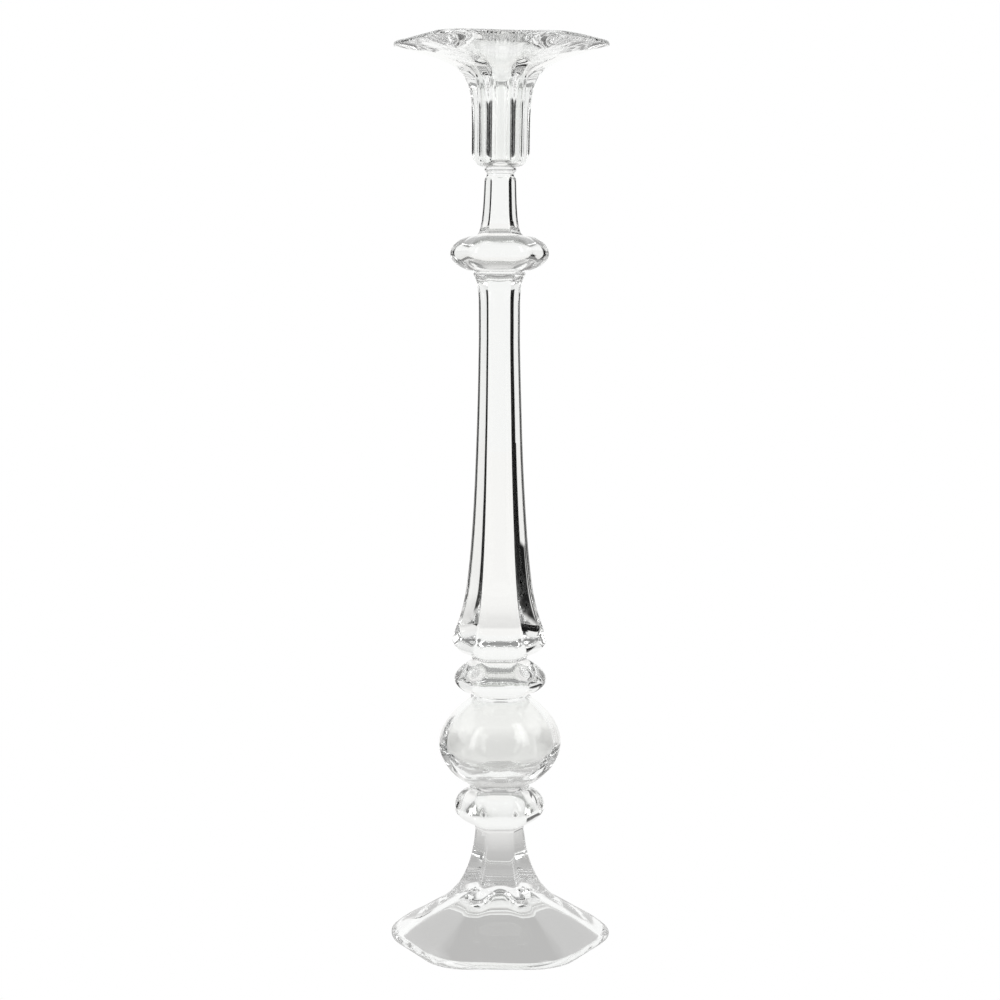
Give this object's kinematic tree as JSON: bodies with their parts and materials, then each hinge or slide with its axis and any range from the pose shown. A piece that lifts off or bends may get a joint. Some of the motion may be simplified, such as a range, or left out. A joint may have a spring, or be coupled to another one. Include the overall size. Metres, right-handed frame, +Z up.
{
  "type": "glass candlestick",
  "caption": "Tall clear glass candlestick for a taper: paneled hexagonal stem, hollow blown ball, flared foot and wide drip pan.",
  "frame": {"origin": "centre of the foot on the surface that it stands on", "axes": "+Z up along the stem; two opposite corners of the foot point along +X and -X, and a panel faces -Y"},
  "size_m": [0.151, 0.14, 0.61],
  "materials": {
    "socket_glass": "clear fire-polished glass with a ground grey rim edge",
    "solid_glass": "clear fire-polished solid glass, very faintly green where it is thick",
    "blown_glass": "clear blown glass with slight ripples",
    "joint_glass": "clear glass, softened when the sections were joined",
    "foot_glass": "clear fire-polished glass with a rolled rim and a rippled underside"
  },
  "bodies": {
    "root": {"candle_socket": "socket_glass", "socket_wafer": "joint_glass", "neck": "solid_glass", "knop": "solid_glass", "knop_wafer": "joint_glass", "stem": "solid_glass", "stem_wafer": "joint_glass", "upper_collar": "solid_glass", "collar_wafer": "joint_glass", "ball": "blown_glass", "ball_wafer": "joint_glass", "lower_collar": "solid_glass", "foot_wafer": "joint_glass", "foot": "foot_glass"}
  },
  "joints": []
}
